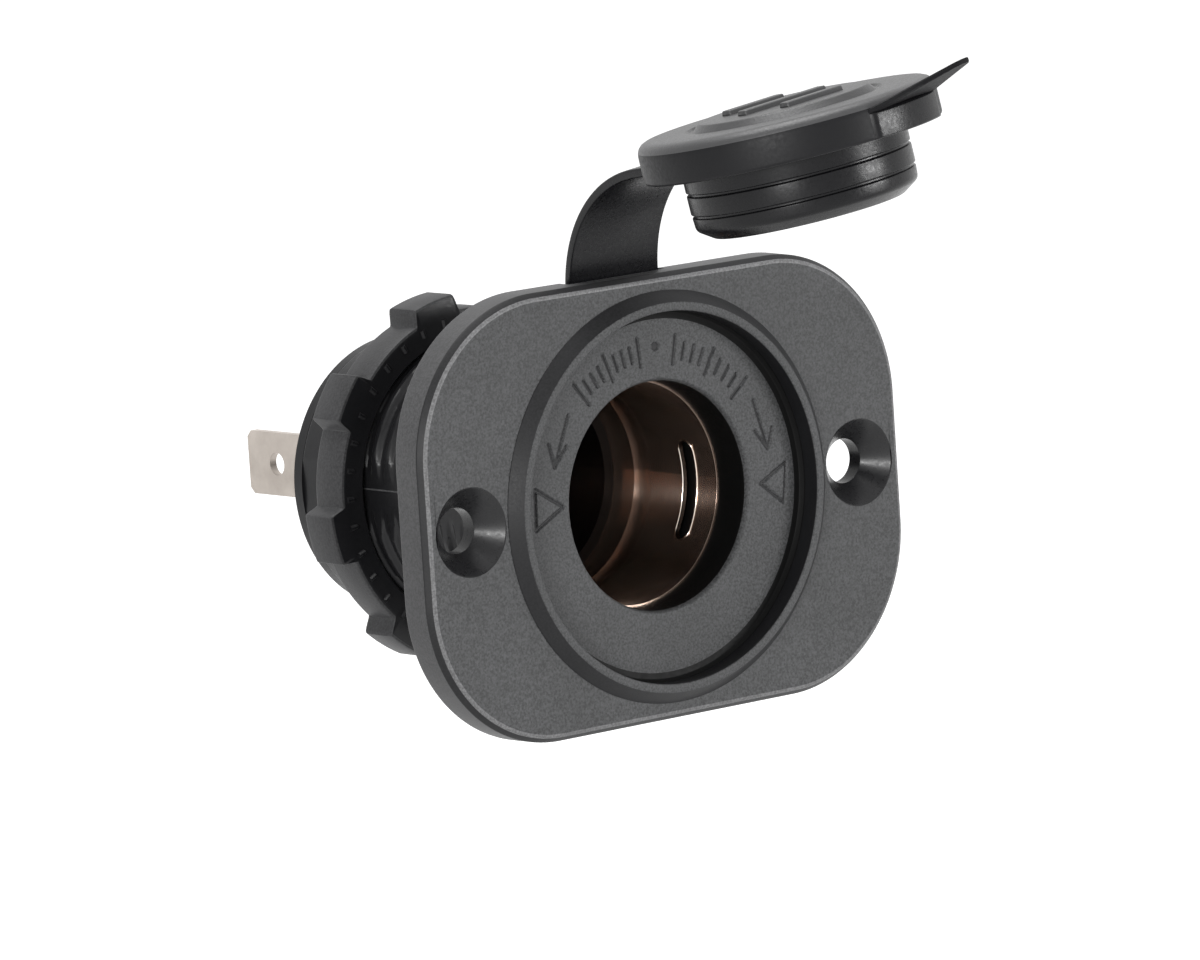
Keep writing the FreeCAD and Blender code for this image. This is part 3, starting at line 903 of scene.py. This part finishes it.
def make_cap_plug():
    """Disc with a low plateau, and under it the plug with two seal grooves and a hollow end."""
    black, matt_painted_light, rim = range(3)
    profile = [
        (AXIS_R, CAP_H + PLATEAU_H), (PLATEAU_R, CAP_H + PLATEAU_H),
        (FOOT_GROOVE_IN_R, CAP_H - FOOT_GROOVE_DEPTH), (FOOT_GROOVE_OUT_R, CAP_H - FOOT_GROOVE_DEPTH),
        (FOOT_GROOVE_EDGE_R, CAP_H), (CAP_R, CAP_H), (CAP_R, 0), (PLUG_R, 0),
    ]
    for z, draw_in in SEAL_GROOVES:
        start, floor_end, below = [z - drop for drop in SEAL_GROOVE_DROPS]
        floor_r = PLUG_R - SEAL_GROOVE_DEPTH
        profile += [(PLUG_R, z), (floor_r, start), (floor_r, floor_end), (PLUG_R - draw_in, below)]
    profile += [
        (PLUG_R - PLUG_TAPER, PLUG_TAPER_Z), (PLUG_TIP_R, -PLUG_LEN), (HOLLOW_R, -PLUG_LEN),
        (HOLLOW_FLOOR_R, -PLUG_LEN + HOLLOW_DEPTH), (AXIS_R, -PLUG_LEN + HOLLOW_DEPTH),
    ]
    radii = DISC_ROUNDS + SEAL_GROOVE_ROUNDS * len(SEAL_GROOVES) + TIP_ROUNDS
    path = rounded(profile, radii, CAP_ROUND_STEPS)
    verts, faces = lathe(path, CAP_SEGMENTS)
    verts = [(x, -z, y) for x, y, z in verts]
    # The top band and the plateau take the lighter rubber as painted light from above; the plateau's foot
    # groove keeps the plain black rubber, so it reads as painted shade against it.
    groove_from, groove_to = FOOT_GROOVE_PAINTED_SHADE
    slots = []
    for r, z in path[:-1]:
        finish = black
        if z > CAP_H - PAINTED_LIGHT_TOP_BAND and not groove_from < r < groove_to:
            finish = matt_painted_light
        elif r > RIM_FROM_R:
            finish = rim
        slots += [finish] * CAP_SEGMENTS
    add_piece(
        "cap_plug", verts, faces, [RUBBER, RUBBER_TOP_PAINTED_LIGHT, RUBBER_RIM], "cover", ["cap"], cap_matrix(),
        sharp=40, face_slots=slots,
    )


ROOT_UNDER_REACH = 0.3
ROOT_REACH = CAP_ROOT_LEN - 0.02
ROOT_UNDER = 0.06
ROOT_T = 0.86
ROOT_TOP = 1.5
ROOT_TOP_INSET = 0.1
ROOT_ROUNDS = (0, 0.1, 0.1, 0.5)
ROOT_STEPS = 3
ROOT_END_INSET = 0.12


def make_cap_root():
    """Thick root on the rim where the strap joins."""
    section = rounded(
        [
            (RIM_IN_R, RIM_UNDER), (CAP_R + ROOT_UNDER_REACH, RIM_UNDER), (CAP_R + ROOT_REACH, ROOT_UNDER),
            (CAP_R + ROOT_REACH, ROOT_T), (CAP_R - ROOT_TOP_INSET, ROOT_TOP), (RIM_IN_R, ROOT_TOP),
        ],
        ROOT_ROUNDS, ROOT_STEPS,
    )
    verts, faces = block([tuple(p) for p in section], -STRAP_W / 2, STRAP_W / 2, ROOT_END_INSET)
    add_piece("cap_root", verts, faces, [RUBBER], "cover", ["cap"], cap_matrix(), sharp=40)


TAB_TURN = math.radians(14.0)
TAB_ROOT_Y = -11.5
TAB_TIP_Y = -21.0
TAB_ROOT_HALF = 6.0
TAB_TIP_HALF = 1.0
TAB_TIP_R = 0.8
TAB_ROOT_TOP = 2.48
TAB_ROOT_T = 0.65
TAB_THINNING = 0.2
TAB_CLIMB = math.tan(math.radians(17.0))
TAB_EDGE_DROP = 0.14
TAB_EDGE_SHARE = 0.08
TAB_COLUMNS = 24
TAB_ROWS = 40
TAB_ROW_CROWDING = 1.7


def tab_place():
    return cap_matrix() @ Matrix.Rotation(TAB_TURN, 4, "Z")


def make_pull_tab():
    """Thin pull tab that tapers and climbs from the rim, its rows closer together toward the tip."""
    reach = TAB_ROOT_Y - TAB_TIP_Y
    verts = []
    for is_top in (True, False):
        for k in range(TAB_ROWS + 1):
            out = 1 - (1 - k / TAB_ROWS) ** TAB_ROW_CROWDING
            left = reach * (1 - out)
            half = TAB_TIP_HALF + (TAB_ROOT_HALF - TAB_TIP_HALF) * left / reach
            if left < TAB_TIP_R:
                half -= TAB_TIP_R - math.sqrt(TAB_TIP_R ** 2 - (TAB_TIP_R - left) ** 2)
            thick = TAB_ROOT_T - TAB_THINNING * out
            top = TAB_ROOT_TOP + reach * out * TAB_CLIMB
            for i in range(TAB_COLUMNS + 1):
                u = i / TAB_COLUMNS * 2 - 1
                edge = TAB_EDGE_DROP * max(0.0, (abs(u) - 1 + TAB_EDGE_SHARE) / TAB_EDGE_SHARE) ** 2
                z = top - edge if is_top else top - thick + edge
                verts.append((u * half, TAB_ROOT_Y - reach * out, z))
    faces = []
    stride = TAB_COLUMNS + 1
    sheet = stride * (TAB_ROWS + 1)
    for k in range(TAB_ROWS):
        for i in range(TAB_COLUMNS):
            a = k * stride + i
            faces.append((a, a + 1, a + stride + 1, a + stride))
            faces.append((sheet + a, sheet + a + stride, sheet + a + stride + 1, sheet + a + 1))
    border = list(range(TAB_COLUMNS))
    border += [k * stride + TAB_COLUMNS for k in range(TAB_ROWS)]
    border += [TAB_ROWS * stride + i for i in range(TAB_COLUMNS, 0, -1)]
    border += [k * stride for k in range(TAB_ROWS, 0, -1)]
    for a, b in zip(border, border[1:] + border[:1]):
        faces.append((a, sheet + a, sheet + b, b))
    add_piece("pull_tab", verts, faces, [RUBBER_TAB], "cover", ["cap"], tab_place(), sharp=50)


FOOT_HALF = math.radians(22.0)
FOOT_END = math.radians(1.8)
FOOT_END_SUNK = 0.4
FOOT_PROUD = 0.33
FOOT_BEVEL = 0.1
FOOT_TOP = 2.65
FOOT_SHOULDER = 0.25
FOOT_TOP_PROUD = 0.1
FOOT_ROUNDS = (0.1, 0.1, 0.2, 0.2)
FOOT_ROUND_STEPS = 3
FOOT_STATIONS = 41


def make_tab_foot():
    """The tab's foot, which stands a little proud of the rim and sinks into it at both ends."""
    proud_r = CAP_R + FOOT_PROUD
    section = rounded(
        [
            (RIM_IN_R, RIM_UNDER), (proud_r - FOOT_BEVEL, RIM_UNDER), (proud_r, RIM_UNDER + FOOT_BEVEL),
            (proud_r, FOOT_TOP - FOOT_SHOULDER), (CAP_R + FOOT_TOP_PROUD, FOOT_TOP), (RIM_IN_R, FOOT_TOP),
        ],
        FOOT_ROUNDS, FOOT_ROUND_STEPS,
    )
    verts = []
    for k in range(FOOT_STATIONS):
        angle = FOOT_HALF * (2 * k / (FOOT_STATIONS - 1) - 1)
        sunk = FOOT_END_SUNK * (1 - smooth_step((FOOT_HALF - abs(angle)) / FOOT_END))
        verts += [((r - sunk) * math.sin(angle), -(r - sunk) * math.cos(angle), z) for r, z in section]
    faces = ring_faces(FOOT_STATIONS, len(section)) + end_faces(FOOT_STATIONS, len(section))
    add_piece("tab_foot", verts, faces, [RUBBER], "cover", ["cap"], tab_place(), sharp=40)


GRIP_BARS = ((-4.2, 3.4), (0.0, 5.0), (4.2, 3.4))
GRIP_FOOT = CAP_H + 0.5
GRIP_TOP = GRIP_FOOT + 0.5
GRIP_FOOT_HALF = 0.75
GRIP_TOP_HALF = 0.6
GRIP_ROUND = 0.25
GRIP_STEPS = 4
GRIP_END_INSET = 0.3


def make_grip_bars():
    """Plain raised bars on the cap's top, each at its y with its half length."""
    for index, (y, half) in enumerate(GRIP_BARS):
        section = rounded(
            [
                (y - GRIP_FOOT_HALF, GRIP_FOOT), (y - GRIP_TOP_HALF, GRIP_TOP), (y + GRIP_TOP_HALF, GRIP_TOP),
                (y + GRIP_FOOT_HALF, GRIP_FOOT),
            ],
            [GRIP_ROUND] * 2, GRIP_STEPS,
        )
        verts, faces = block([tuple(p) for p in section], -half, half, GRIP_END_INSET)
        name = "grip_bar_%d" % index
        # The bars take the lighter top rubber: painted light from above.
        add_piece(name, verts, faces, [RUBBER_TOP_PAINTED_LIGHT], "cover", ["cap"], cap_matrix(), sharp=50)


# Strap

STRAP_EDGE_R = 0.22
STRAP_EDGE_STEPS = 4
STRAP_SEAM = 0.01
STRAP_SPLIT = math.radians(37.5)
BEND_STEPS = 28
RUN_STEPS = 8


def strap_strip(name, angles, run):
    """Part of the strap along its middle line."""
    stations = [(bend_point(a), Vector((0, math.cos(a), math.sin(a)))) for a in angles]
    stations += [(bend_point(BEND_SWEEP) + RUN_DIR * d, RISE_DIR) for d in run]
    half_t = TETHER_T / 2
    half_w = STRAP_W / 2
    section = rounded(
        [
            (0, -half_t), (half_w, -half_t), (half_w, half_t),
            (-half_w, half_t), (-half_w, -half_t), (-STRAP_SEAM, -half_t),
        ],
        [STRAP_EDGE_R] * 4, STRAP_EDGE_STEPS,
    )
    verts = []
    for centre, normal in stations:
        verts += [centre + Vector((s, 0, 0)) + normal * n for s, n in section]
    faces = ring_faces(len(stations), len(section)) + end_faces(len(stations), len(section))
    return add_piece(name, verts, faces, [RUBBER], None, ["strap"], tether_matrix(), sharp=45)


def make_strap():
    """Two lengths: the lower bends from the socket to the tether, the upper from the tether to the cap."""
    lower_bend = [STRAP_SPLIT * i / BEND_STEPS for i in range(BEND_STEPS + 1)]
    lower = strap_strip("strap_lower", lower_bend, [])
    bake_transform(lower)
    upper_bend = [STRAP_SPLIT + (BEND_SWEEP - STRAP_SPLIT) * i / BEND_STEPS for i in range(BEND_STEPS + 1)]
    upper_run = [STRAP_RUN * i / RUN_STEPS for i in range(1, RUN_STEPS + 1)]
    upper = strap_strip("strap_upper", upper_bend, upper_run)
    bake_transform(upper)


# Finishes for the solids that stay as they are

def dress(node, material, edge=0.0):
    """Give a solid its material and, where edge is set, edges rounded by that many millimetres."""
    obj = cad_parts[node]
    obj.data.materials.clear()
    obj.data.materials.append(material)
    if edge:
        modifier = obj.modifiers.new("edge", "BEVEL")
        modifier.width = edge * MM
        modifier.segments = 3
        modifier.limit_method = "ANGLE"
        modifier.angle_limit = math.radians(50)
        modifier.harden_normals = True


# Edges of the sleeve: its front lip, darkened as painted shade, and the folded rim of its window, brightened
# as a painted glint

SLEEVE_R = 10.7
WINDOW_Y = 5.65
WINDOW_END_R = 1.05
WINDOW_HALF = 3.72
WINDOW_TURN = math.radians(-7.5)
WINDOW_END_STEPS = 24
WINDOW_STEP = 0.2
RIM_WIRE_R = 0.12
LIP_WIRE_R = 0.08
LIP_INSET = 0.1
LIP_SEGMENTS = 200
WIRE_SIDES = 8


def wire_loop(name, path, wire_r, material):
    """A thin closed wire along a path, its section set out from the bore's axis."""
    count = len(path)
    verts = []
    for i, point in enumerate(path):
        along = (path[(i + 1) % count] - path[i - 1]).normalized()
        out = Vector((point.x, 0, point.z)).normalized()
        across = along.cross(out).normalized()
        for k in range(WIRE_SIDES):
            a = TAU * k / WIRE_SIDES
            verts.append(point + out * (wire_r * math.cos(a)) + across * (wire_r * math.sin(a)))
    faces = ring_faces(count, WIRE_SIDES, closed=True)
    add_piece(name, verts, faces, [material], "socket", sharp=60)


def make_sleeve_lip():
    angles = [TAU * i / LIP_SEGMENTS for i in range(LIP_SEGMENTS)]
    path = [Vector((SLEEVE_R * math.cos(a), SLEEVE_Y + LIP_INSET, SLEEVE_R * math.sin(a))) for a in angles]
    # The lip wire takes the darker copy of the sleeve metal: painted shade.
    wire_loop("sleeve_lip", path, LIP_WIRE_R, SLEEVE_LIP_PAINTED_SHADE)


def make_window_rim():
    """Rim of the slot with round ends, laid on the sleeve's inner wall."""
    outline = []
    for side in (1, -1):
        for i in range(WINDOW_END_STEPS + 1):
            a = math.pi * i / WINDOW_END_STEPS
            z = side * (WINDOW_HALF + WINDOW_END_R * math.sin(a))
            outline.append((z, side * WINDOW_END_R * math.cos(a)))
    fine = []
    for (z0, y0), (z1, y1) in zip(outline, outline[1:] + outline[:1]):
        steps = max(1, round(math.hypot(z1 - z0, y1 - y0) / WINDOW_STEP))
        fine += [(z0 + (z1 - z0) * k / steps, y0 + (y1 - y0) * k / steps) for k in range(steps)]
    turn = Matrix.Rotation(-WINDOW_TURN, 4, "Y")
    path = [turn @ Vector((math.sqrt(SLEEVE_R ** 2 - z ** 2), WINDOW_Y + y, z)) for z, y in fine]
    # The rim wire takes the brighter copy of the sleeve metal: a painted glint.
    wire_loop("window_rim", path, RIM_WIRE_R, PAINTED_GLINT_METAL)


# Studio, in metres

FLOOR_HALF = 3.0
FLOOR_Z = -0.075
FLOOR_GREY = 0.5
FLOOR_GLOW = 0.9
WORLD_LIGHT = 0.2
WHITE = (1, 1, 1, 1)


def seen_directly(nodes, links):
    """1 for a ray from the camera, from a reflection or through glass, 0 for any other light."""
    path = nodes.new("ShaderNodeLightPath")
    value = path.outputs["Is Camera Ray"]
    for other in ("Is Glossy Ray", "Is Transmission Ray"):
        most = nodes.new("ShaderNodeMath")
        most.operation = "MAXIMUM"
        links.new(value, most.inputs[0])
        links.new(path.outputs[other], most.inputs[1])
        value = most.outputs["Value"]
    return value


def make_floor():
    corners = [(x * FLOOR_HALF, y * FLOOR_HALF, FLOOR_Z) for x, y in ((-1, -1), (1, -1), (1, 1), (-1, 1))]
    data = bpy.data.meshes.new("floor")
    data.from_pydata(corners, [], [(0, 1, 2, 3)])
    floor = link_object("floor", data)
    material, nodes, links, shader = node_material("floor_white")
    shader.inputs["Base Color"].default_value = (FLOOR_GREY, FLOOR_GREY, FLOOR_GREY, 1)
    shader.inputs["Roughness"].default_value = 0.9
    share = nodes.new("ShaderNodeMath")
    share.operation = "MULTIPLY"
    share.inputs[1].default_value = FLOOR_GLOW
    links.new(seen_directly(nodes, links), share.inputs[0])
    glow = nodes.new("ShaderNodeEmission")
    links.new(share.outputs["Value"], glow.inputs["Strength"])
    both = nodes.new("ShaderNodeAddShader")
    links.new(shader.outputs["BSDF"], both.inputs[0])
    links.new(glow.outputs["Emission"], both.inputs[1])
    links.new(both.outputs["Shader"], nodes["Material Output"].inputs["Surface"])
    data.materials.append(material)


def make_world():
    world = bpy.data.worlds.new("studio")
    bpy.context.scene.world = world
    world.use_nodes = True
    nodes = world.node_tree.nodes
    links = world.node_tree.links
    back = nodes["Background"]
    back.inputs["Color"].default_value = WHITE
    back.inputs["Strength"].default_value = WORLD_LIGHT
    white = nodes.new("ShaderNodeBackground")
    white.inputs["Color"].default_value = WHITE
    white.inputs["Strength"].default_value = 1.0
    mix = nodes.new("ShaderNodeMixShader")
    links.new(seen_directly(nodes, links), mix.inputs["Fac"])
    links.new(back.outputs["Background"], mix.inputs[1])
    links.new(white.outputs["Background"], mix.inputs[2])
    links.new(mix.outputs["Shader"], nodes["World Output"].inputs["Surface"])


LIGHT_TARGET = Vector((0, 0, 0.01))


def area_light(name, place, size, power):
    data = bpy.data.lights.new(name, "AREA")
    data.shape = "RECTANGLE"
    data.size, data.size_y = size
    data.energy = power
    lamp = link_object(name, data)
    lamp.location = place
    lamp.rotation_euler = (LIGHT_TARGET - Vector(place)).to_track_quat("-Z", "Y").to_euler()


def make_lights():
    area_light("top_box", place=(-0.05, 0.1, 0.75), size=(0.7, 0.5), power=5.6)
    area_light("left_box", place=(-0.75, -0.5, 0.12), size=(0.3, 0.12), power=4.2)
    area_light("right_box", place=(0.56, -0.83, 0.13), size=(0.40, 0.1), power=5.0)


CAMERA_AT = (-0.55254, -0.66646, 0.12048)
CAMERA_TURN = (82.1655, 3.7268, -39.9137)
CAMERA_LENS = 277.18
CAMERA_SENSOR = 36


def make_camera():
    data = bpy.data.cameras.new("camera")
    data.sensor_fit = "HORIZONTAL"
    data.sensor_width = CAMERA_SENSOR
    data.lens = CAMERA_LENS
    camera = link_object("camera", data)
    camera.location = CAMERA_AT
    camera.rotation_euler = [math.radians(a) for a in CAMERA_TURN]
    bpy.context.scene.camera = camera


make_plate()
make_flange_ring()
make_barrel()
make_parting_lines()
make_dial()
make_nut()
make_cap_plug()
make_cap_root()
make_pull_tab()
make_tab_foot()
make_grip_bars()
make_strap()
dress("contact_sleeve", SLEEVE)
make_sleeve_lip()
make_window_rim()
dress("centre_contact", SLEEVE)
dress("positive_terminal", TIN, edge=0.1)
dress("rear_insulator", BLACK_AND_PAINTED_SHADE, edge=0.2)
dress("anchor_ring", RUBBER, edge=0.15)
dress("flange_gasket", RUBBER)
make_floor()
make_world()
make_lights()
make_camera()
bpy.context.scene.view_settings.view_transform = "Standard"
